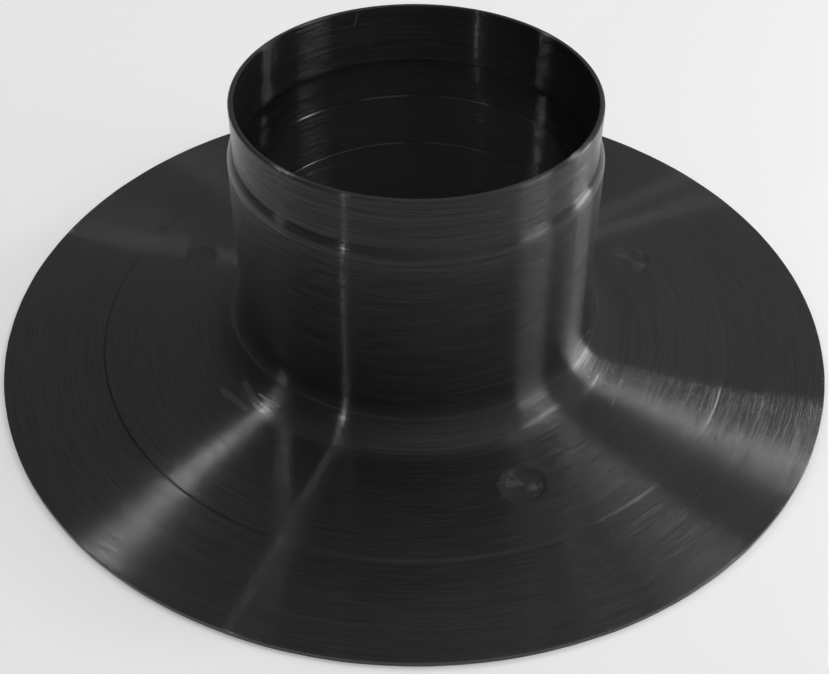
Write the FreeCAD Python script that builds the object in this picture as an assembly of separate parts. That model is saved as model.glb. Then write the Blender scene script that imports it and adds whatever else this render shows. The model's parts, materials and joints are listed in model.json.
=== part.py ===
import FreeCAD, Part
import math
import os

# Pipe flashing boot: one moulded piece, a wide round flange with an upright stepped neck.
# A vent pipe passes up through the neck, and the roof membrane laps onto the flange.
# Frame: origin at the centre of the flange's underside, +Z up the neck.
# Lengths are in millimetres and angles in degrees.

# Upper band of the neck, which holds the pipe.
BORE_RADIUS = 65.5
BORE_LENGTH = 24.0
BAND_WALL = 2.1
RIM_OUTER_CHAMFER = 0.7
RIM_INNER_CHAMFER = 0.4

# Shoulder, where the neck widens from the band to the tube below it.
SHOULDER_STEP = 2.3
SHOULDER_SLOPE = 45.0
SHOULDER_ROUND = 6.5
SHOULDER_LAP = 4.8

# Tube of the neck. Its outside has a slight draft, and its inside is straight between two
# fine ledges, where the wall thickens.
TUBE_WALL = 2.3
TUBE_DRAFT = 0.5
UPPER_TUBE_HEIGHT = 18.0
MIDDLE_TUBE_HEIGHT = 23.2
LOWER_TUBE_HEIGHT = 44.3
UPPER_LEDGE_WIDTH = 0.5
LOWER_LEDGE_WIDTH = 0.35
LEDGE_SLOPE = 50.0

# Flange, flat underneath: a thin lap outside a low ring step, and inside the step a plate
# that thickens towards the neck.
LAP_THICKNESS = 2.4
BASE_FILLET = 15.0
PLATE_WIDTH = 41.5
PLATE_SLOPE = 2.0
RING_STEP = 0.6
RING_STEP_RUN = 0.8
LAP_WIDTH = 39.9

# Shallow round spot marks in the sloped top of the plate.
MARK_DIAMETER = 16.5
MARK_DEPTH = 0.35
MARK_GAP = 8.0
MARK_ANGLES = (21.0, 160.0, 293.0)

# Share of a straight side that the rounds at its two ends may use together.
ROUND_LIMIT = 0.98


def tangent_of(angle):
    """Return the tangent of an angle in degrees."""
    return math.tan(math.radians(angle))


# Heights, all worked up from the flange's underside.
lower_ledge_z = LOWER_TUBE_HEIGHT
upper_ledge_z = lower_ledge_z + MIDDLE_TUBE_HEIGHT
bore_foot_z = upper_ledge_z + UPPER_TUBE_HEIGHT
rim_z = bore_foot_z + BORE_LENGTH
crease_z = bore_foot_z + SHOULDER_LAP
step_top_z = LAP_THICKNESS + RING_STEP
neck_foot_z = step_top_z + (BASE_FILLET + PLATE_WIDTH) * tangent_of(PLATE_SLOPE)

# Radii, all worked out from the bore.
band_radius = BORE_RADIUS + BAND_WALL
tube_radius = band_radius + SHOULDER_STEP
shoulder_z = crease_z - SHOULDER_STEP / tangent_of(SHOULDER_SLOPE)
neck_foot_radius = tube_radius + (shoulder_z - neck_foot_z) * tangent_of(TUBE_DRAFT)
ring_radius = neck_foot_radius + BASE_FILLET + PLATE_WIDTH
flange_radius = ring_radius + LAP_WIDTH


def outer_corners():
    """Return the corners (r, z, round) of the outside, from the flange's edge to the bore."""
    return [
        (flange_radius, 0.0, 0.0),
        (flange_radius, LAP_THICKNESS, 0.0),
        (ring_radius + RING_STEP_RUN, LAP_THICKNESS, 0.0),
        (ring_radius, step_top_z, 0.0),
        (neck_foot_radius, neck_foot_z, BASE_FILLET),
        (tube_radius, shoulder_z, SHOULDER_ROUND),
        (band_radius, crease_z, 0.0),
        (band_radius, rim_z - RIM_OUTER_CHAMFER, 0.0),
        (band_radius - RIM_OUTER_CHAMFER, rim_z, 0.0),
        (BORE_RADIUS + RIM_INNER_CHAMFER, rim_z, 0.0),
        (BORE_RADIUS, rim_z - RIM_INNER_CHAMFER, 0.0),
    ]


def inner_corners():
    """Return the corners (r, z, round) of the inside, from the bore's foot to the underside."""
    relief_radius = tube_radius - TUBE_WALL
    relief_z = bore_foot_z - (relief_radius - BORE_RADIUS) / tangent_of(SHOULDER_SLOPE)
    corners = [(BORE_RADIUS, bore_foot_z, 0.0), (relief_radius, relief_z, 0.0)]

    radius = relief_radius
    ledges = ((upper_ledge_z, UPPER_LEDGE_WIDTH), (lower_ledge_z, LOWER_LEDGE_WIDTH))
    for ledge_z, ledge_width in ledges:
        corners.append((radius, ledge_z, 0.0))
        radius -= ledge_width
        corners.append((radius, ledge_z - ledge_width / tangent_of(LEDGE_SLOPE), 0.0))

    foot_wall = neck_foot_radius - radius
    corners.append((radius, 0.0, BASE_FILLET + foot_wall))
    return corners


def setbacks(points, rounds):
    """Return how far each corner's round reaches back along its two sides.

    A round that its sides have no room for is made smaller until it fits them.
    """
    count = len(points)
    reach = []
    for here in range(count):
        before = points[here] - points[here - 1]
        after = points[(here + 1) % count] - points[here]
        reach.append(rounds[here] * math.tan(before.getAngle(after) / 2.0))
    for here in range(count):
        ahead = (here + 1) % count
        room = ROUND_LIMIT * points[here].distanceToPoint(points[ahead])
        used = reach[here] + reach[ahead]
        if used > room:
            reach[here] *= room / used
            reach[ahead] *= room / used
    return reach


def corner_arc(before, point, after, reach):
    """Return the start, the middle and the end of the round at one corner."""
    back = (before - point).normalize()
    ahead = (after - point).normalize()
    start = point + back * reach
    end = point + ahead * reach
    inward = (back + ahead).normalize()
    half_turn = back.getAngle(ahead) / 2.0
    centre_distance = reach / math.cos(half_turn)
    radius = reach * math.tan(half_turn)
    middle = point + inward * (centre_distance - radius)
    return start, middle, end


def rounded_face(corners):
    """Return the flat face, in the XZ plane, whose outline has these corners and rounds."""
    points = [FreeCAD.Vector(r, 0.0, z) for r, z, _ in corners]
    reach = setbacks(points, [corner_round for _, _, corner_round in corners])
    edges = []
    joints = []
    for here, point in enumerate(points):
        if reach[here] == 0.0:
            joints.append((point, point))
            continue
        after = points[(here + 1) % len(points)]
        start, middle, end = corner_arc(points[here - 1], point, after, reach[here])
        edges.append(Part.Arc(start, middle, end).toShape())
        joints.append((start, end))
    for here, (_, leave) in enumerate(joints):
        arrive = joints[(here + 1) % len(joints)][0]
        edges.append(Part.LineSegment(leave, arrive).toShape())
    return Part.Face(Part.Wire(Part.__sortEdges__(edges)))


def spot_mark(angle):
    """Return the cutter of one shallow round mark, square to the plate's sloped top."""
    mark_radius = MARK_DIAMETER / 2.0
    reach_out = neck_foot_radius + BASE_FILLET + MARK_GAP + mark_radius
    top_z = step_top_z + (ring_radius - reach_out) * tangent_of(PLATE_SLOPE)
    turn = math.radians(angle)
    outward = FreeCAD.Vector(math.cos(turn), math.sin(turn), 0.0)
    upward = FreeCAD.Vector(0.0, 0.0, 1.0)
    slope = math.radians(PLATE_SLOPE)
    normal = upward * math.cos(slope) + outward * math.sin(slope)
    floor_centre = outward * reach_out + upward * top_z - normal * MARK_DEPTH
    return Part.makeCylinder(mark_radius, 3.0 * MARK_DEPTH, floor_centre, normal)


def flashing_boot():
    """Return the boot: its outline turned about the neck's axis, less the spot marks."""
    outline = rounded_face(outer_corners() + inner_corners())
    turned = outline.revolve(FreeCAD.Vector(0, 0, 0), FreeCAD.Vector(0, 0, 1), 360.0)
    marks = [spot_mark(angle) for angle in MARK_ANGLES]
    return turned.cut(marks)


def main():
    """Build the boot and write its STEP file."""
    os.makedirs("parts", exist_ok=True)
    boot = flashing_boot()
    solid = boot.Solids[0]
    box = solid.BoundBox
    print("solids", len(boot.Solids), "valid", solid.isValid(), "volume", round(solid.Volume))
    print("width", round(box.XLength, 2), "height", round(box.ZLength, 2), "foot", round(box.ZMin, 3))
    solid.exportStep("parts/flashing_boot.step")


main()
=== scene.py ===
"""Looks of the pipe flashing boot: its turned black plastic, the marks on it, and a plain studio."""

import json
import logging
import math
from dataclasses import dataclass, field
from enum import Enum
from typing import Any

import bpy
from mathutils import Matrix, Vector


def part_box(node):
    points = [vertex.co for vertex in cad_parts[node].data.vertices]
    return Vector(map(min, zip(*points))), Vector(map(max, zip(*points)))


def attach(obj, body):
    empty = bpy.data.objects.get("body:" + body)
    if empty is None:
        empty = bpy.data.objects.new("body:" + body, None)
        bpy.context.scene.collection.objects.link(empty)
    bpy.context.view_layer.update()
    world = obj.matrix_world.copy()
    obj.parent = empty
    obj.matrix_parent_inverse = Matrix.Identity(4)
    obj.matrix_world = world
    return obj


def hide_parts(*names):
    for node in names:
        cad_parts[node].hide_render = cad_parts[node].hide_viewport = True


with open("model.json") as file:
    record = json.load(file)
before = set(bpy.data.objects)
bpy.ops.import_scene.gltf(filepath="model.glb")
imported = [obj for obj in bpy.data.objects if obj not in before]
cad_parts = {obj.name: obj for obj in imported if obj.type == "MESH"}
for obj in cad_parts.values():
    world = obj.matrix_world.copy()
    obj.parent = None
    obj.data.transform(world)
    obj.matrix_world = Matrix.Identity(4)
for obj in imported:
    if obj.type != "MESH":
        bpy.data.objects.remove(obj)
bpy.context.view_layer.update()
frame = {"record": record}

CAD_NODE = "flashing_boot"
BODY = "root"
MM = 0.001

# The trimmed edge: how wide it is, how much of its wander is ragged, and the gap that closes
# the seam where the turned shell meets itself.
EDGE_TRIM = 1.2 * MM
RAGGED_SHARE = 0.4
MERGE_GAP = 0.002 * MM

log = logging.getLogger("flashing_boot")


class Slot(Enum):
    """The record's material slots."""

    BLACK_PLASTIC = "black_plastic"


# --------------------------------------------------------------------------------------
# Node trees


class Graph:
    """A node tree being built, with short calls that place nodes and join them."""

    def __init__(self, tree: bpy.types.NodeTree) -> None:
        """Start on a tree, leaving what it holds.

        Args:
            tree: the shader or geometry tree to build in.
        """
        self.tree = tree

    def node(self, kind: str, inputs: dict[Any, Any] | None = None, **settings: Any) -> bpy.types.Node:
        """Place a node, set its settings and feed its inputs.

        Args:
            kind: Blender's name for the node's type.
            inputs: sockets or plain values, by the input's name or place.
            settings: the node's own settings, such as an operation.

        Returns:
            The new node.
        """
        made = self.tree.nodes.new(kind)
        for name, value in settings.items():
            setattr(made, name, value)
        for key, value in (inputs or {}).items():
            self.feed(made.inputs[key], value)
        return made

    def feed(self, socket: bpy.types.NodeSocket, value: Any) -> None:
        """Join a socket to another, or set its plain value."""
        if isinstance(value, bpy.types.NodeSocket):
            self.tree.links.new(value, socket)
        else:
            socket.default_value = value

    def math(self, operation: str, *operands: Any) -> bpy.types.NodeSocket:
        """Place a Math node and return its result."""
        kind = "ShaderNodeMath"
        return self.node(kind, dict(enumerate(operands)), operation=operation).outputs[0]

    def vector(self, operation: str, *operands: Any) -> bpy.types.Node:
        """Place a Vector Math node and return it."""
        return self.node("ShaderNodeVectorMath", dict(enumerate(operands)), operation=operation)

    def combine(self, x: Any = 0.0, y: Any = 0.0, z: Any = 0.0) -> bpy.types.NodeSocket:
        """Return a vector made of three numbers."""
        return self.node("ShaderNodeCombineXYZ", {0: x, 1: y, 2: z}).outputs[0]

    def mix(self, kind: str, factor: Any, first: Any, second: Any) -> bpy.types.NodeSocket:
        """Mix two numbers, vectors or colours.

        Args:
            kind: FLOAT, VECTOR or RGBA.
            factor: the second one's share.
            first: the result where the factor is 0.
            second: the result where it is 1.

        Returns:
            The mixed value.
        """
        place = {"FLOAT": 2, "VECTOR": 4, "RGBA": 6}[kind]
        node = self.node("ShaderNodeMix", {0: factor, place: first, place + 1: second},
                         data_type=kind)
        return node.outputs[place // 2 - 1]

    def ramp(self, value: Any, low: Any, high: Any, start: Any = 0.0, end: Any = 1.0,
             smooth: bool = True) -> bpy.types.NodeSocket:
        """Map a value's range onto another, held at its ends.

        Args:
            value: the number that changes.
            low: where the range starts.
            high: where it ends.
            start: the result at low.
            end: the result at high.
            smooth: ease in and out instead of a straight line.

        Returns:
            The mapped number.
        """
        kind = "SMOOTHSTEP" if smooth else "LINEAR"
        inputs = {"Value": value, "From Min": low, "From Max": high, "To Min": start, "To Max": end}
        return self.node("ShaderNodeMapRange", inputs, interpolation_type=kind).outputs[0]


def new_group(name: str, kind: str, inputs: dict[str, tuple[str, Any]],
              outputs: dict[str, str]) -> tuple[bpy.types.NodeTree, Graph, bpy.types.Node, bpy.types.Node]:
    """Make a node group with named inputs and outputs.

    Args:
        name: the group's name.
        kind: ShaderNodeTree or GeometryNodeTree.
        inputs: each input's socket type and default, by name.
        outputs: each output's socket type, by name.

    Returns:
        The tree, its graph, and its input and output nodes.
    """
    tree = bpy.data.node_groups.new(name, kind)
    for label, (socket_type, default) in inputs.items():
        socket = tree.interface.new_socket(label, in_out="INPUT", socket_type=socket_type)
        if default is not None:
            socket.default_value = default
    for label, socket_type in outputs.items():
        tree.interface.new_socket(label, in_out="OUTPUT", socket_type=socket_type)
    graph = Graph(tree)
    return tree, graph, tree.nodes.new("NodeGroupInput"), tree.nodes.new("NodeGroupOutput")


def set_modifier_input(modifier: bpy.types.Modifier, label: str, value: Any) -> None:
    """Set a Geometry Nodes modifier's input, found by its label."""
    for item in modifier.node_group.interface.items_tree:
        if item.item_type == "SOCKET" and item.in_out == "INPUT" and item.name == label:
            modifier[item.identifier] = value
            return
    raise KeyError(label)


def grow(name: str, mesh: bpy.types.Mesh, tree: bpy.types.NodeTree,
         values: dict[str, Any]) -> bpy.types.Object:
    """Run a geometry tree on a mesh and return the result as a plain mesh object.

    Args:
        name: the new object's name.
        mesh: what the tree starts from.
        tree: the geometry tree.
        values: the tree's inputs, by label.

    Returns:
        An object at the origin whose mesh holds the result, with no modifier left.
    """
    piece = bpy.data.objects.new(name, mesh)
    bpy.context.scene.collection.objects.link(piece)
    modifier = piece.modifiers.new(name, "NODES")
    modifier.node_group = tree
    for label, value in values.items():
        set_modifier_input(modifier, label, value)
    depsgraph = bpy.context.evaluated_depsgraph_get()
    result = bpy.data.meshes.new_from_object(piece.evaluated_get(depsgraph), depsgraph=depsgraph)
    piece.modifiers.clear()
    piece.data = result
    result.name = name
    return piece


# --------------------------------------------------------------------------------------
# Sizes and outline


@dataclass(frozen=True)
class BootSizes:
    """The boot's sizes in metres. Its reach, its height and its bore come from the frame."""

    flange_radius: float
    height: float
    bore_radius: float
    band_wall: float = 2.1 * MM
    bore_length: float = 24.0 * MM
    shoulder_step: float = 2.3 * MM
    shoulder_lap: float = 4.8 * MM
    shoulder_round: float = 6.5 * MM
    tube_wall: float = 2.3 * MM
    upper_ledge_drop: float = 42.0 * MM
    lower_ledge_drop: float = 65.2 * MM
    upper_ledge: float = 0.5 * MM
    lower_ledge: float = 0.35 * MM
    lap_thickness: float = 2.4 * MM
    lap_width: float = 39.9 * MM
    ring_step: float = 0.6 * MM
    ring_run: float = 0.8 * MM
    plate_slope: float = math.radians(2.0)
    base_fillet: float = 15.0 * MM
    plate_width: float = 41.5 * MM
    mark_radius: float = 8.25 * MM
    mark_depth: float = 0.35 * MM
    mark_edge: float = 1.4 * MM
    mark_gap: float = 8.0 * MM
    mark_angles: tuple[float, ...] = (21.0, 160.0, 293.0)

    @property
    def ring_radius(self) -> float:
        """Radius of the ring step's inner edge."""
        return self.flange_radius - self.lap_width

    @property
    def neck_foot_radius(self) -> float:
        """Radius at which the tube would meet the plate with no fillet."""
        return self.ring_radius - self.plate_width - self.base_fillet

    @property
    def mark_reach(self) -> float:
        """Radius of the circle that the spot marks' centres stand on."""
        return self.neck_foot_radius + self.base_fillet + self.mark_gap + self.mark_radius

    @property
    def mark_centres(self) -> list[tuple[float, float, float]]:
        """Where the centres of the spot marks are, seen from above."""
        turns = [math.radians(degrees) for degrees in self.mark_angles]
        return [(self.mark_reach * math.cos(turn), self.mark_reach * math.sin(turn), 0.0)
                for turn in turns]

    def plate_height(self, radius: float) -> float:
        """Return the height of the plate's sloped top at a radius."""
        rise = (self.ring_radius - radius) * math.tan(self.plate_slope)
        return self.lap_thickness + self.ring_step + rise


def sizes_from_frame() -> BootSizes:
    """Return the boot's sizes, with its reach, height and bore read from the frame."""
    low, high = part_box(CAD_NODE)
    reach = min(high.x, high.y, -low.x, -low.y)
    bore = next(m for m in frame["record"]["mounts"] if m["name"] == "pipe_bore")
    return BootSizes(reach, high.z, bore["dims"]["r_mm"] * MM)


@dataclass(frozen=True)
class Corner:
    """One corner of the outline: its radius and height, and the round on it, in metres."""

    radius: float
    height: float
    round: float

    @property
    def point(self) -> Vector:
        """The corner as a flat vector."""
        return Vector((self.radius, self.height))


@dataclass(frozen=True)
class FineRounds:
    """Radii of the small rounds, where the solid has sharp corners or chamfers."""

    edge_foot: float = 0.3 * MM
    edge_top: float = 0.45 * MM
    ring_step: float = 0.5 * MM
    crease: float = 0.5 * MM
    rim_outside: float = 0.95 * MM
    rim_inside: float = 0.5 * MM
    bore_foot: float = 0.4 * MM
    upper_ledge: float = 0.3 * MM
    lower_ledge: float = 0.2 * MM


@dataclass
class TurnedOutline:
    """The section that is turned about the axis to make the boot."""

    sizes: BootSizes
    rounds: FineRounds = field(default_factory=FineRounds)
    large_round: float = 5.0 * MM
    room_share: float = 0.49
    arc_angle: float = math.radians(9.0)
    fewest_steps: int = 3
    stretch: float = 4.0 * MM
    fine_stretch: float = 0.8 * MM
    guard: float = 0.25 * MM

    def corners(self) -> list[Corner]:
        """Return the corners, from the flange's edge up the outside and down the inside."""
        s, fine = self.sizes, self.rounds
        bore_foot = s.height - s.bore_length
        crease = bore_foot + s.shoulder_lap
        shoulder = crease - s.shoulder_step
        band = s.bore_radius + s.band_wall
        tube = band + s.shoulder_step
        upper = s.height - s.upper_ledge_drop
        lower = s.height - s.lower_ledge_drop
        relief = tube - s.tube_wall
        middle = relief - s.upper_ledge
        lowest = middle - s.lower_ledge
        return [
            Corner(s.flange_radius, 0.0, fine.edge_foot),
            Corner(s.flange_radius, s.lap_thickness, fine.edge_top),
            Corner(s.ring_radius + s.ring_run, s.lap_thickness, fine.ring_step),
            Corner(s.ring_radius, s.lap_thickness + s.ring_step, fine.ring_step),
            Corner(s.neck_foot_radius, s.plate_height(s.neck_foot_radius), s.base_fillet),
            Corner(tube, shoulder, s.shoulder_round),
            Corner(band, crease, fine.crease),
            Corner(band, s.height, fine.rim_outside),
            Corner(s.bore_radius, s.height, fine.rim_inside),
            Corner(s.bore_radius, bore_foot, fine.bore_foot),
            Corner(relief, bore_foot - (relief - s.bore_radius), fine.bore_foot),
            Corner(relief, upper, fine.upper_ledge),
            Corner(middle, upper - s.upper_ledge, fine.upper_ledge),
            Corner(middle, lower, fine.lower_ledge),
            Corner(lowest, lower - s.lower_ledge, fine.lower_ledge),
            Corner(lowest, 0.0, s.base_fillet + s.neck_foot_radius - lowest),
        ]

    def points(self) -> list[Vector]:
        """Return the outline's points in order, with rounds and evenly divided flats."""
        corners = self.corners()
        rounds = []
        for place, corner in enumerate(corners):
            before = corners[place - 1].point
            after = corners[(place + 1) % len(corners)].point
            rounds.append(self.round_points(before, corner, after))
        points: list[Vector] = []
        for place, arc in enumerate(rounds):
            points.extend(arc)
            following = rounds[(place + 1) % len(rounds)][0]
            points.extend(self.flat_points(arc[-1], following))
        return points

    def round_points(self, before: Vector, corner: Corner, after: Vector) -> list[Vector]:
        """Return the points of the round on one corner.

        Args:
            before: the corner before it.
            corner: the corner itself.
            after: the corner after it.

        Returns:
            Points along the tangent arc, ends included.
        """
        back = (before - corner.point).normalized()
        ahead = (after - corner.point).normalized()
        half = back.angle(ahead) / 2.0
        reach = corner.round / math.tan(half)
        if corner.round < self.large_round:
            shorter_side = min((before - corner.point).length, (after - corner.point).length)
            reach = min(reach, self.room_share * shorter_side)
        centre = corner.point + (back + ahead).normalized() * (reach / math.cos(half))
        start = corner.point + back * reach - centre
        end = corner.point + ahead * reach - centre
        turn = math.pi - 2.0 * half
        count = max(self.fewest_steps, math.ceil(turn / self.arc_angle))
        points = []
        for step in range(count + 1):
            share = step / count
            weight_start = math.sin((1.0 - share) * turn) / math.sin(turn)
            weight_end = math.sin(share * turn) / math.sin(turn)
            points.append(centre + start * weight_start + end * weight_end)
        return points

    def flat_points(self, start: Vector, end: Vector) -> list[Vector]:
        """Return points inside a flat stretch, close to its ends and evenly between."""
        length = (end - start).length
        along = (end - start).normalized()
        if length < 4.0 * self.guard:
            return []
        inside = length - 2.0 * self.guard
        count = max(1, math.ceil(inside / self.spacing(start, end)))
        return [start + along * (self.guard + inside * step / count) for step in range(count + 1)]

    def spacing(self, start: Vector, end: Vector) -> float:
        """Return how far apart the points of a flat stretch are: close where the marks are."""
        crosses_marks = min(start.x, end.x) < self.sizes.mark_reach < max(start.x, end.x)
        return self.fine_stretch if crosses_marks and start.y > self.guard else self.stretch

    def mesh(self) -> bpy.types.Mesh:
        """Return the outline as loose points in the XZ plane."""
        mesh = bpy.data.meshes.new("boot_outline")
        mesh.from_pydata([(p.x, 0.0, p.y) for p in self.points()], [], [])
        return mesh


# --------------------------------------------------------------------------------------
# Finishes


@dataclass(frozen=True)
class TurnedGrooves:
    """Fine grooves left by turning, which run round the Z axis.

    Densities are in waves to the metre, and slopes are tangents. Each groove tilts the
    surface across its own run, a few of them strongly, and none along it.
    """

    fine: float = 7000.0
    coarse: float = 800.0
    dense: float = 4600.0
    along: float = 8.0
    folds: float = 9.0
    spread: float = 0.35
    steepest: float = 1.5
    faintest: float = 0.25
    coarse_share: float = 0.04
    coarse_tilt: float = 0.008

    def group(self, sizes: BootSizes) -> bpy.types.NodeTree:
        """Return the grooves' shader group.

        Args:
            sizes: the boot's sizes, for the places of the spot marks.

        Returns:
            The group. It gives the tilted Normal and the Lines, a soft banding.
        """
        tree, g, given, result = new_group(
            "Turned Grooves", "ShaderNodeTree",
            {
                "Fine": ("NodeSocketFloat", self.fine),
                "Coarse": ("NodeSocketFloat", self.coarse),
                "Dense": ("NodeSocketFloat", self.dense),
                "Along": ("NodeSocketFloat", self.along),
                "Spread": ("NodeSocketFloat", self.spread),
                "Coarse Tilt": ("NodeSocketFloat", self.coarse_tilt),
            },
            {"Normal": "NodeSocketVector", "Lines": "NodeSocketFloat"},
        )
        place = g.node("ShaderNodeTexCoord").outputs["Object"]
        split = g.node("ShaderNodeSeparateXYZ", {0: place}).outputs
        across, around = self.directions(g, split, sizes)
        along_x = g.math("MULTIPLY", split[0], given.outputs["Along"])
        along_y = g.math("MULTIPLY", split[1], given.outputs["Along"])
        waves = {}
        for density, detail in (("Fine", 1.0), ("Coarse", 3.0), ("Dense", 1.0)):
            run = g.math("MULTIPLY", across, given.outputs[density])
            noise = g.node("ShaderNodeTexNoise",
                           {"Vector": g.combine(run, along_x, along_y),
                            "Scale": 1.0, "Detail": detail, "Roughness": 0.6})
            waves[density] = noise.outputs["Fac"]
        lines = g.ramp(waves["Coarse"], 0.34, 0.66, smooth=False)
        slope = self.slope(g, given, waves, lines)
        g.feed(result.inputs["Normal"], self.tilted_normal(g, around, slope))
        g.feed(result.inputs["Lines"], lines)
        return tree

    def directions(self, g: Graph, split: Any,
                   sizes: BootSizes) -> tuple[bpy.types.NodeSocket, bpy.types.NodeSocket]:
        """Find where a place lies across the grooves, and which way they run there.

        In a spot mark the grooves run round the mark's own centre.

        Args:
            g: the group's graph.
            split: the place's three coordinates.
            sizes: the boot's sizes.

        Returns:
            The distance across the grooves, and the vector along them.
        """
        radius = g.vector("LENGTH", g.combine(split[0], split[1])).outputs["Value"]
        across = g.math("SUBTRACT", radius, split[2])
        around = g.combine(g.math("MULTIPLY", split[1], -1.0), split[0])
        for centre in sizes.mark_centres:
            offset = g.vector("SUBTRACT", g.combine(split[0], split[1]), centre).outputs[0]
            gap = g.vector("LENGTH", offset).outputs["Value"]
            inside = g.math("LESS_THAN", gap, sizes.mark_radius - sizes.mark_edge)
            parts = g.node("ShaderNodeSeparateXYZ", {0: offset}).outputs
            local = g.combine(g.math("MULTIPLY", parts[1], -1.0), parts[0])
            across = g.mix("FLOAT", inside, across, gap)
            around = g.mix("VECTOR", inside, around, local)
        return across, around

    def slope(self, g: Graph, given: bpy.types.Node, waves: dict[str, bpy.types.NodeSocket],
              lines: bpy.types.NodeSocket) -> bpy.types.NodeSocket:
        """Work out how steeply the surface tilts across the grooves at a place.

        Args:
            g: the group's graph.
            given: the group's input node.
            waves: the noises, by density.
            lines: the soft banding.

        Returns:
            The slope, mostly slight and here and there steep.
        """
        folded = g.math("FRACT", g.math("MULTIPLY", waves["Fine"], self.folds))
        turn = g.math("MULTIPLY", g.math("SUBTRACT", folded, 0.5), math.pi)
        bearing = g.math("MULTIPLY_ADD", lines, self.coarse_share,
                         g.math("MULTIPLY", waves["Dense"], 1.0 - self.coarse_share))
        strength = g.ramp(bearing, 0.40, 0.62, self.faintest, 1.0)
        spread = g.math("MULTIPLY", strength, given.outputs["Spread"])
        fine = g.math("MULTIPLY", g.math("TANGENT", turn), spread)
        coarse = g.math("MULTIPLY", g.math("SUBTRACT", waves["Coarse"], 0.5),
                        given.outputs["Coarse Tilt"])
        whole = g.math("ADD", fine, coarse)
        return g.math("MINIMUM", g.math("MAXIMUM", whole, -self.steepest), self.steepest)

    def tilted_normal(self, g: Graph, around: bpy.types.NodeSocket,
                      slope: bpy.types.NodeSocket) -> bpy.types.NodeSocket:
        """Tilt the surface's normal across the grooves.

        Args:
            g: the group's graph.
            around: the vector along the grooves.
            slope: how steeply to tilt.

        Returns:
            The tilted normal.
        """
        facing = g.node("ShaderNodeNewGeometry").outputs["Normal"]
        turned = g.node("ShaderNodeVectorTransform", {0: around}, vector_type="VECTOR",
                        convert_from="OBJECT", convert_to="WORLD").outputs[0]
        crossed = g.vector("CROSS_PRODUCT", facing, turned).outputs[0]
        push = g.vector("SCALE", g.vector("NORMALIZE", crossed).outputs[0])
        g.feed(push.inputs["Scale"], slope)
        return g.vector("NORMALIZE", g.vector("ADD", facing, push.outputs[0]).outputs[0]).outputs[0]


def cloud_group() -> bpy.types.NodeTree:
    """Return the shader group for soft uneven patches, such as handling marks and haze."""
    tree, g, given, result = new_group(
        "Soft Patches", "ShaderNodeTree",
        {
            "Scale": ("NodeSocketFloat", 14.0),
            "Low": ("NodeSocketFloat", 0.4),
            "High": ("NodeSocketFloat", 0.65),
        },
        {"Mask": "NodeSocketFloat"},
    )
    place = g.node("ShaderNodeTexCoord").outputs["Object"]
    noise = g.node("ShaderNodeTexNoise", {"Vector": place, "Scale": given.outputs["Scale"],
                                          "Detail": 4.0, "Roughness": 0.55})
    mask = g.ramp(noise.outputs["Fac"], given.outputs["Low"], given.outputs["High"])
    g.feed(result.inputs["Mask"], mask)
    return tree


def scratch_and_glint_group() -> bpy.types.NodeTree:
    """Return the shader group for one straight pale line between two points, used both for scratches and
    for painted glints.
    """
    tree, g, given, result = new_group(
        "Scratch And Glint Line", "ShaderNodeTree",
        {
            "Start": ("NodeSocketVector", (0.0, 0.0, 0.0)),
            "End": ("NodeSocketVector", (0.01, 0.0, 0.0)),
            "Width": ("NodeSocketFloat", 0.3 * MM),
            "Strength": ("NodeSocketFloat", 1.0),
        },
        {"Mask": "NodeSocketFloat"},
    )
    place = g.node("ShaderNodeTexCoord").outputs["Object"]
    along = g.vector("SUBTRACT", given.outputs["End"], given.outputs["Start"]).outputs[0]
    offset = g.vector("SUBTRACT", place, given.outputs["Start"]).outputs[0]
    dot = g.vector("DOT_PRODUCT", offset, along).outputs["Value"]
    whole = g.vector("DOT_PRODUCT", along, along).outputs["Value"]
    share = g.node("ShaderNodeClamp", {0: g.math("DIVIDE", dot, whole)}).outputs[0]
    nearest = g.vector("SCALE", along)
    g.feed(nearest.inputs["Scale"], share)
    gap = g.vector("DISTANCE", offset, nearest.outputs[0]).outputs["Value"]
    core = g.math("MULTIPLY", given.outputs["Width"], 0.3)
    mask = g.ramp(gap, core, given.outputs["Width"], 1.0, 0.0)
    g.feed(result.inputs["Mask"], g.math("MULTIPLY", mask, given.outputs["Strength"]))
    return tree


def dust_group() -> bpy.types.NodeTree:
    """Return the shader group for fine dust that has settled on faces that look up."""
    tree, g, given, result = new_group(
        "Dust Specks", "ShaderNodeTree",
        {
            "Density": ("NodeSocketFloat", 420.0),
            "Speck Size": ("NodeSocketFloat", 0.16 * MM),
            "Share": ("NodeSocketFloat", 0.5),
        },
        {"Mask": "NodeSocketFloat"},
    )
    place = g.node("ShaderNodeTexCoord").outputs["Object"]
    cells = g.node("ShaderNodeTexVoronoi", {"Vector": place, "Scale": given.outputs["Density"]})
    size = g.math("MULTIPLY", given.outputs["Speck Size"], given.outputs["Density"])
    colour = g.node("ShaderNodeSeparateColor", {0: cells.outputs["Color"]}).outputs
    radius = g.math("MULTIPLY", size, g.math("MULTIPLY_ADD", colour[1], 0.8, 0.4))
    speck = g.ramp(cells.outputs["Distance"], g.math("MULTIPLY", radius, 0.5), radius, 1.0, 0.0)
    kept = g.math("LESS_THAN", colour[0], given.outputs["Share"])
    clump = g.node("ShaderNodeTexNoise", {"Vector": place, "Scale": 22.0, "Detail": 2.0})
    settled = g.ramp(clump.outputs["Fac"], 0.42, 0.62)
    facing = g.node("ShaderNodeSeparateXYZ", {0: g.node("ShaderNodeNewGeometry").outputs["Normal"]})
    up = g.ramp(facing.outputs[2], 0.6, 0.9)
    where = g.math("MULTIPLY", g.math("MULTIPLY", speck, kept), g.math("MULTIPLY", settled, up))
    paleness = g.math("MULTIPLY_ADD", colour[2], 0.7, 0.3)
    g.feed(result.inputs["Mask"], g.math("MULTIPLY", where, paleness))
    return tree


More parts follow.
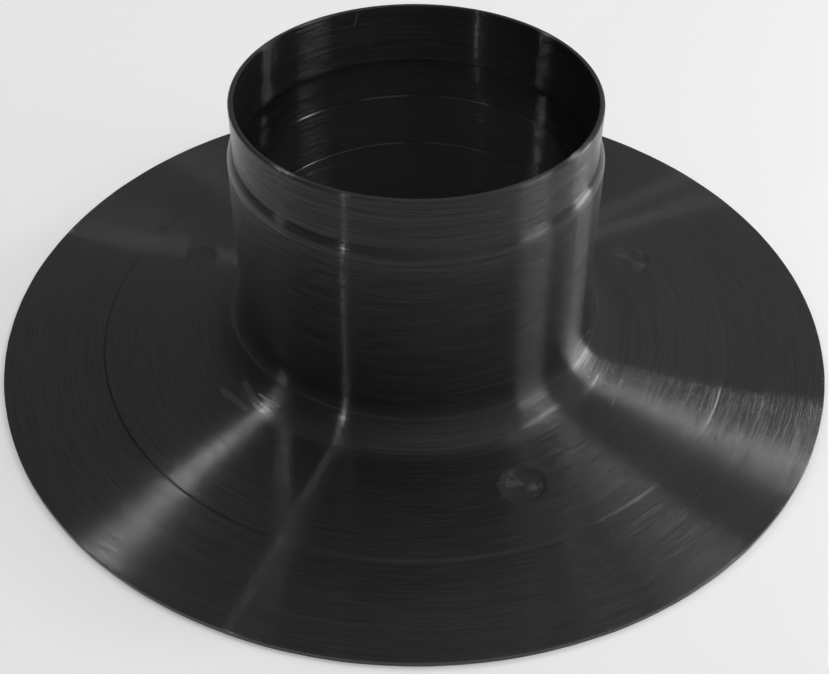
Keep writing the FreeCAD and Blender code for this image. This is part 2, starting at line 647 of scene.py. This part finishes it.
def fray_group(sizes: BootSizes) -> bpy.types.NodeTree:
    """Return the shader group for the trimmed edge, where the plastic is torn a little paler.

    Args:
        sizes: the boot's sizes, for the place of the edge.

    Returns:
        The group.
    """
    tree, g, given, result = new_group(
        "Frayed Edge", "ShaderNodeTree",
        {"Reach": ("NodeSocketFloat", 2.5 * MM), "Grain": ("NodeSocketFloat", 260.0)},
        {"Mask": "NodeSocketFloat"},
    )
    place = g.node("ShaderNodeTexCoord").outputs["Object"]
    split = g.node("ShaderNodeSeparateXYZ", {0: place}).outputs
    radius = g.vector("LENGTH", g.combine(split[0], split[1])).outputs["Value"]
    start = g.math("SUBTRACT", sizes.flange_radius, given.outputs["Reach"])
    near = g.ramp(radius, start, sizes.flange_radius)
    grain = g.node("ShaderNodeTexNoise", {"Vector": place, "Scale": given.outputs["Grain"],
                                          "Detail": 4.0, "Roughness": 0.7})
    slow = g.node("ShaderNodeTexNoise", {"Vector": place, "Scale": 9.0, "Detail": 2.0})
    torn = g.math("MULTIPLY", g.ramp(grain.outputs["Fac"], 0.5, 0.72),
                  g.ramp(slow.outputs["Fac"], 0.4, 0.65))
    g.feed(result.inputs["Mask"], g.math("MULTIPLY", near, torn))
    return tree


@dataclass(frozen=True)
class ScratchAndGlint:
    """One straight pale line on the boot, used both for scratches and for painted glints: its ends in
    millimetres, its width and strength.
    """

    start: tuple[float, float, float]
    end: tuple[float, float, float]
    width: float = 0.3
    strength: float = 1.0


@dataclass(frozen=True)
class TurnedPlastic:
    """Black moulded plastic with turned grooves, which draw highlights out across them."""

    name: str = "turned_black_plastic"
    colour: tuple[float, float, float] = (0.010, 0.010, 0.0102)
    haze_colour: tuple[float, float, float] = (0.014, 0.014, 0.0143)
    # Colour of the pale lines, which serve both as scratches and as painted glints.
    scratch_and_glint_colour: tuple[float, float, float] = (0.30, 0.30, 0.30)
    roughness: float = 0.18
    haze_roughness: float = 0.205
    line_wander: float = 0.02
    haze_share: float = 0.8
    anisotropy: float = 1.0
    specular: float = 0.5
    ior: float = 1.5
    coat: float = 0.15
    coat_roughness: float = 0.12
    dust_colour: tuple[float, float, float] = (0.30, 0.30, 0.30)
    fray_colour: tuple[float, float, float] = (0.09, 0.09, 0.09)
    # Pale lines painted into the base colour; the narrow ones are drawn as scratches.
    scratches_and_glints: tuple[ScratchAndGlint, ...] = (
        ScratchAndGlint((-59.9, -50.9, 6.2), (-51.1, -58.4, 6.7), 0.35, 1.0),
        # These two wide faint arcs at the front-left foot of the neck are painted glints, the tails of a
        # lamp's reflection.
        ScratchAndGlint((-74.0, -47.6, 4.4), (-64.4, -57.3, 4.4), 2.2, 0.12),
        ScratchAndGlint((-66.0, -44.4, 5.7), (-59.8, -56.1, 4.9), 1.8, 0.12),
        ScratchAndGlint((81.7, -39.9, 4.3), (76.1, -53.6, 4.2), 0.25, 0.35),
        ScratchAndGlint((70.6, -18.4, 11.3), (63.7, -31.6, 15.2), 0.25, 0.30),
        ScratchAndGlint((-23.5, 61.1, 108.3), (-25.0, 60.5, 103.0), 0.25, 0.30),
    )

    def material(self, groups: dict[str, bpy.types.NodeTree]) -> bpy.types.Material:
        """Build the material.

        Args:
            groups: the shared shader groups, by name.

        Returns:
            The finished material.
        """
        material = bpy.data.materials.new(self.name)
        material.use_nodes = True
        tree = material.node_tree
        g = Graph(tree)
        shader = tree.nodes["Principled BSDF"]
        grooves = g.node("ShaderNodeGroup", node_tree=groups["grooves"])
        patches = g.node("ShaderNodeGroup", node_tree=groups["patches"])
        haze = g.math("MULTIPLY", patches.outputs["Mask"], self.haze_share)
        colour = g.mix("RGBA", haze, (*self.colour, 1.0), (*self.haze_colour, 1.0))
        # The pale lines, scratches and painted glints alike, are mixed into the base colour.
        for scratch_and_glint in self.scratches_and_glints:
            mark = g.node("ShaderNodeGroup", node_tree=groups["scratch_and_glint"])
            mark.inputs["Start"].default_value = [x * MM for x in scratch_and_glint.start]
            mark.inputs["End"].default_value = [x * MM for x in scratch_and_glint.end]
            mark.inputs["Width"].default_value = scratch_and_glint.width * MM
            mark.inputs["Strength"].default_value = scratch_and_glint.strength
            colour = g.mix("RGBA", mark.outputs["Mask"], colour, (*self.scratch_and_glint_colour, 1.0))
        dust = g.node("ShaderNodeGroup", node_tree=groups["dust"])
        colour = g.mix("RGBA", dust.outputs["Mask"], colour, (*self.dust_colour, 1.0))
        fray = g.node("ShaderNodeGroup", node_tree=groups["fray"])
        colour = g.mix("RGBA", fray.outputs["Mask"], colour, (*self.fray_colour, 1.0))
        rough = g.ramp(patches.outputs["Mask"], 0.0, 1.0, self.roughness, self.haze_roughness)
        wander = g.math("MULTIPLY_ADD", grooves.outputs["Lines"], self.line_wander,
                        -self.line_wander / 2.0)
        tangent = g.node("ShaderNodeTangent", direction_type="RADIAL", axis="Z")
        g.feed(shader.inputs["Base Color"], colour)
        g.feed(shader.inputs["Roughness"], g.math("ADD", rough, wander))
        g.feed(shader.inputs["Normal"], grooves.outputs["Normal"])
        g.feed(shader.inputs["Tangent"], tangent.outputs["Tangent"])
        shader.inputs["Anisotropic"].default_value = self.anisotropy
        shader.inputs["Anisotropic Rotation"].default_value = 0.25
        shader.inputs["IOR"].default_value = self.ior
        shader.inputs["Coat Weight"].default_value = self.coat
        shader.inputs["Coat Roughness"].default_value = self.coat_roughness
        shader.inputs["Specular IOR Level"].default_value = self.specular
        return material


# --------------------------------------------------------------------------------------
# The boot


def turned_section(g: Graph, outline: bpy.types.NodeSocket,
                   segments: bpy.types.NodeSocket) -> tuple[Any, Any, Any]:
    """Lay out a grid, with a row for each point of the outline and a column for each segment.

    Args:
        g: the graph to build in.
        outline: the outline's loose points, in order.
        segments: how many segments go round.

    Returns:
        The grid, each of its points' place in the outline, and its angle in radians.
    """
    count = g.node("GeometryNodeAttributeDomainSize", {0: outline}).outputs["Point Count"]
    grid = g.node("GeometryNodeMeshGrid",
                  {"Size X": segments, "Size Y": count,
                   "Vertices X": g.math("ADD", segments, 1.0),
                   "Vertices Y": g.math("ADD", count, 1.0)})
    position = g.node("GeometryNodeInputPosition").outputs[0]
    place = g.node("ShaderNodeSeparateXYZ", {0: position}).outputs
    column = g.math("ROUND", g.math("ADD", place[0], g.math("DIVIDE", segments, 2.0)))
    row = g.math("ROUND", g.math("ADD", place[1], g.math("DIVIDE", count, 2.0)))
    sample = g.node("GeometryNodeSampleIndex", data_type="FLOAT_VECTOR", domain="POINT")
    g.feed(sample.inputs["Geometry"], outline)
    g.feed(sample.inputs["Value"], position)
    g.feed(sample.inputs["Index"], g.math("FLOORED_MODULO", row, count))
    section = g.node("ShaderNodeSeparateXYZ", {0: sample.outputs[0]}).outputs
    share = g.math("DIVIDE", g.math("FLOORED_MODULO", column, segments), segments)
    return grid.outputs["Mesh"], section, g.math("MULTIPLY", share, 2.0 * math.pi)


def lift_and_pull(g: Graph, given: bpy.types.Node, circle: bpy.types.NodeSocket,
                  radius: bpy.types.NodeSocket,
                  sizes: BootSizes) -> tuple[bpy.types.NodeSocket, bpy.types.NodeSocket]:
    """Let the flange lift and its trimmed edge wander a little, more towards its outside.

    Args:
        g: the graph to build in.
        given: the tree's input node.
        circle: the place's direction from the axis.
        radius: the place's distance from the axis.
        sizes: the boot's sizes.

    Returns:
        How far the place lifts, and how far it moves in.
    """
    slow = g.node("ShaderNodeTexNoise", {"Vector": circle, "W": given.outputs["Seed"],
                                         "Scale": 1.1, "Detail": 1.0}, noise_dimensions="4D")
    ragged = g.node("ShaderNodeTexNoise", {"Vector": circle, "W": given.outputs["Seed"],
                                           "Scale": 9.0, "Detail": 5.0, "Roughness": 0.7},
                    noise_dimensions="4D")
    slow_share = g.ramp(slow.outputs["Fac"], 0.3, 0.7)
    ragged_share = g.ramp(ragged.outputs["Fac"], 0.3, 0.7)
    outward = g.ramp(radius, sizes.ring_radius, sizes.flange_radius)
    at_edge = g.ramp(radius, sizes.flange_radius - EDGE_TRIM, sizes.flange_radius)
    lift = g.math("MULTIPLY", g.math("MULTIPLY", outward, given.outputs["Warp Height"]), slow_share)
    wander = g.math("ADD", g.math("MULTIPLY", slow_share, 1.0 - RAGGED_SHARE),
                    g.math("MULTIPLY", ragged_share, RAGGED_SHARE))
    pull = g.math("MULTIPLY", g.math("MULTIPLY", at_edge, given.outputs["Edge Wander"]), wander)
    return lift, pull


def mark_dishes(g: Graph, x: bpy.types.NodeSocket, y: bpy.types.NodeSocket,
                sizes: BootSizes) -> bpy.types.NodeSocket:
    """Return 1 where a place lies in a spot mark, falling to 0 over the mark's soft edge."""
    dish = 0.0
    for centre in sizes.mark_centres:
        gap = g.vector("DISTANCE", g.combine(x, y), centre).outputs["Value"]
        inside = g.ramp(gap, sizes.mark_radius - sizes.mark_edge, sizes.mark_radius, 1.0, 0.0)
        dish = g.math("ADD", dish, inside)
    return dish


def turning_tree(sizes: BootSizes) -> bpy.types.NodeTree:
    """Return the geometry tree that turns an outline of loose points about the Z axis.

    Args:
        sizes: the boot's sizes, for the places of the spot marks.

    Returns:
        The tree. Its input mesh is the outline, with its points in order.
    """
    tree, g, given, result = new_group(
        "Turn Outline", "GeometryNodeTree",
        {
            "Geometry": ("NodeSocketGeometry", None),
            "Segments": ("NodeSocketInt", 360),
            "Warp Height": ("NodeSocketFloat", 0.5 * MM),
            "Edge Wander": ("NodeSocketFloat", 0.5 * MM),
            "Mark Depth": ("NodeSocketFloat", 0.35 * MM),
            "Seed": ("NodeSocketFloat", 3.0),
            "Material": ("NodeSocketMaterial", None),
        },
        {"Geometry": "NodeSocketGeometry"},
    )
    grid, section, angle = turned_section(g, given.outputs["Geometry"], given.outputs["Segments"])
    cosine, sine = g.math("COSINE", angle), g.math("SINE", angle)
    lift, pull = lift_and_pull(g, given, g.combine(cosine, sine), section[0], sizes)
    radius = g.math("SUBTRACT", section[0], pull)
    x = g.math("MULTIPLY", radius, cosine)
    y = g.math("MULTIPLY", radius, sine)

    # Each spot mark is a shallow dish in the top of the plate, and not in its underside.
    on_top = g.math("GREATER_THAN", section[2], sizes.lap_thickness / 2.0)
    dish = g.math("MULTIPLY", mark_dishes(g, x, y, sizes), on_top)
    drop = g.math("MULTIPLY", dish, given.outputs["Mark Depth"])
    height = g.math("SUBTRACT", g.math("ADD", section[2], lift), drop)
    placed = g.node("GeometryNodeSetPosition", {"Geometry": grid,
                                                "Position": g.combine(x, y, height)})
    closed = g.node("GeometryNodeMergeByDistance", {"Geometry": placed.outputs[0],
                                                    "Distance": MERGE_GAP})
    smooth = g.node("GeometryNodeSetShadeSmooth", {"Geometry": closed.outputs[0]})
    real = g.node("GeometryNodeRealizeInstances", {"Geometry": smooth.outputs[0]})
    dressed = g.node("GeometryNodeSetMaterial", {"Geometry": real.outputs[0],
                                                 "Material": given.outputs["Material"]})
    g.feed(result.inputs["Geometry"], dressed.outputs[0])
    return tree


@dataclass
class FlashingBoot:
    """The moulded boot itself: one turned shell with three shallow spot marks."""

    sizes: BootSizes
    segments: int = 372
    warp_height: float = 0.45 * MM
    edge_wander: float = 0.45 * MM
    sharp_angle: float = math.radians(40.0)

    def build(self, material: bpy.types.Material) -> bpy.types.Object:
        """Turn the outline and return the shell.

        Args:
            material: the shell's finish.

        Returns:
            The shell, as a plain mesh object.
        """
        values = {"Segments": self.segments, "Warp Height": self.warp_height,
                  "Edge Wander": self.edge_wander,
                  "Mark Depth": self.sizes.mark_depth, "Material": material}
        shell = grow("boot_shell", TurnedOutline(self.sizes).mesh(), turning_tree(self.sizes), values)
        shell.data.set_sharp_from_angle(angle=self.sharp_angle)
        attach(shell, BODY)
        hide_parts(CAD_NODE)
        return shell


# --------------------------------------------------------------------------------------
# The studio


@dataclass(frozen=True)
class Lamp:
    """A round lamp turned to the boot: bearing and height in degrees, the rest in metres.

    The light is what it gives at the boot's place, where pi lights a white sheet fully.
    """

    name: str
    bearing: float
    height: float
    distance: float
    light: float
    width: float = 0.06

    @property
    def place(self) -> Vector:
        """Where the lamp stands, in metres."""
        bearing, height = math.radians(self.bearing), math.radians(self.height)
        level = math.cos(height)
        return self.distance * Vector((level * math.cos(bearing), level * math.sin(bearing),
                                       math.sin(height)))

    @property
    def power(self) -> float:
        """Its power in watts."""
        return math.pi * self.light * self.distance ** 2


@dataclass(frozen=True)
class View:
    """The camera: how high it looks from, how far off, where it aims, its lens and its roll."""

    elevation: float = math.radians(42.27)
    distance: float = 0.5140
    aim: tuple[float, float, float] = (-0.00008, 0.0, -0.00985)
    lens: float = 52.44
    sensor: float = 36.0
    roll: float = 0.0068


@dataclass
class Studio:
    """Camera, lamps, a pale floor and the soft room round them."""

    view: View = field(default_factory=View)
    lamps: tuple[Lamp, ...] = (
        Lamp("lamp_back_left", 131.0, 55.0, 1.60, 0.13, 0.06),
        Lamp("lamp_left", 155.0, 53.5, 0.90, 0.18, 0.05),
        Lamp("lamp_left_high", 174.5, 72.5, 1.20, 0.02, 0.05),
        Lamp("lamp_front_left", 231.0, 18.0, 1.20, 0.16, 0.04),
        Lamp("lamp_right", 1.0, 55.5, 1.60, 0.14, 0.25),
        Lamp("lamp_right_near", 1.0, 48.0, 0.85, 0.24, 0.12),
        Lamp("lamp_back_right", 46.0, 45.5, 1.60, 0.20, 0.12),
        Lamp("lamp_low_front_right", 337.0, 12.5, 0.90, 0.42, 0.30),
        Lamp("lamp_low_right", 14.0, 6.0, 0.90, 0.85, 0.26),
        Lamp("lamp_back_right_high", 35.0, 66.5, 1.10, 0.02, 0.10),
    )
    room_horizon: float = 0.16
    room_ceiling: float = 0.52
    room_side: float = 0.80
    floor_width: float = 6.0
    floor_colour: tuple[float, float, float] = (0.93, 0.93, 0.93)
    floor_roughness: float = 0.9
    # The floor's glow is faded out near the axis, as painted shade under the boot.
    floor_glow: float = 0.17
    glow_starts: float = 70.0 * MM
    glow_is_full: float = 160.0 * MM

    def build(self) -> None:
        """Set up everything round the boot."""
        self.camera()
        for lamp in self.lamps:
            self.lamp(lamp)
        self.world()
        self.floor()
        bpy.context.scene.view_settings.view_transform = "Standard"

    def camera(self) -> None:
        """Place the camera."""
        view = self.view
        data = bpy.data.cameras.new("camera")
        data.lens = view.lens
        data.sensor_width = view.sensor
        data.clip_start = 0.01
        camera = bpy.data.objects.new("camera", data)
        bpy.context.scene.collection.objects.link(camera)
        back = Vector((0.0, -math.cos(view.elevation), math.sin(view.elevation)))
        camera.location = Vector(view.aim) + back * view.distance
        facing = (-back).to_track_quat("-Z", "Y").to_matrix().to_4x4()
        camera.rotation_euler = (facing @ Matrix.Rotation(view.roll, 4, "Z")).to_euler()
        bpy.context.scene.camera = camera

    def lamp(self, lamp: Lamp) -> None:
        """Place one lamp, turned towards the boot."""
        data = bpy.data.lights.new(lamp.name, "AREA")
        data.shape = "DISK"
        data.size = lamp.width
        data.energy = lamp.power
        holder = bpy.data.objects.new(lamp.name, data)
        bpy.context.scene.collection.objects.link(holder)
        holder.location = lamp.place
        holder.rotation_euler = (-lamp.place).to_track_quat("-Z", "Y").to_euler()

    def seen_directly(self, g: Graph) -> bpy.types.NodeSocket:
        """Return 1 where a camera, glossy or transmission ray arrives, and else 0."""
        path = g.node("ShaderNodeLightPath").outputs
        camera_or_gloss = g.math("MAXIMUM", path["Is Camera Ray"], path["Is Glossy Ray"])
        return g.math("MAXIMUM", camera_or_gloss, path["Is Transmission Ray"])

    def world(self) -> None:
        """Make the surroundings a soft room, palest overhead and to the right."""
        world = bpy.data.worlds.new("studio")
        bpy.context.scene.world = world
        world.use_nodes = True
        g = Graph(world.node_tree)
        background = world.node_tree.nodes["Background"]
        background.inputs["Color"].default_value = (1.0, 1.0, 1.0, 1.0)
        place = g.node("ShaderNodeTexCoord").outputs["Generated"]
        split = g.node("ShaderNodeSeparateXYZ", {0: place}).outputs
        height = g.ramp(split[2], 0.0, 1.0, self.room_horizon, self.room_ceiling, smooth=False)
        side = g.math("MULTIPLY_ADD", split[0], self.room_side, 1.0)
        g.feed(background.inputs["Strength"], g.math("MULTIPLY", height, side))

    def floor(self) -> None:
        """Lay a pale floor that keeps the boot's shadow. Its glow fades out towards the axis, which paints
        shade on the floor under the neck.
        """
        half = self.floor_width / 2.0
        mesh = bpy.data.meshes.new("floor")
        mesh.from_pydata([(-half, -half, 0.0), (half, -half, 0.0), (half, half, 0.0),
                          (-half, half, 0.0)], [], [(0, 1, 2, 3)])
        floor = bpy.data.objects.new("floor", mesh)
        bpy.context.scene.collection.objects.link(floor)
        material = bpy.data.materials.new("pale_floor")
        material.use_nodes = True
        g = Graph(material.node_tree)
        shader = material.node_tree.nodes["Principled BSDF"]
        shader.inputs["Roughness"].default_value = self.floor_roughness
        shader.inputs["Specular IOR Level"].default_value = 0.0
        shader.inputs["Base Color"].default_value = (*self.floor_colour, 1.0)
        shader.inputs["Emission Color"].default_value = (1.0, 1.0, 1.0, 1.0)
        place = g.node("ShaderNodeTexCoord").outputs["Object"]
        reach = g.vector("LENGTH", place).outputs["Value"]
        # The glow fades to nothing inside glow_starts, so the floor seen through the bore and in the inner
        # wall's reflections is dark: painted shade under the boot.
        glow = g.ramp(reach, self.glow_starts, self.glow_is_full, 0.0, self.floor_glow)
        g.feed(shader.inputs["Emission Strength"], g.math("MULTIPLY", self.seen_directly(g), glow))
        mesh.materials.append(material)


def main() -> None:
    """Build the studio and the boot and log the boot's faces."""
    logging.basicConfig(level=logging.INFO, format="%(name)s: %(message)s")
    sizes = sizes_from_frame()
    Studio().build()
    groups = {"grooves": TurnedGrooves().group(sizes), "patches": cloud_group(),
              "scratch_and_glint": scratch_and_glint_group(), "dust": dust_group(), "fray": fray_group(sizes)}
    plastic = TurnedPlastic().material(groups)
    shell = FlashingBoot(sizes).build(plastic)
    log.info("%s has %d faces", shell.name, len(shell.data.polygons))


if __name__ == "__main__":
    main()
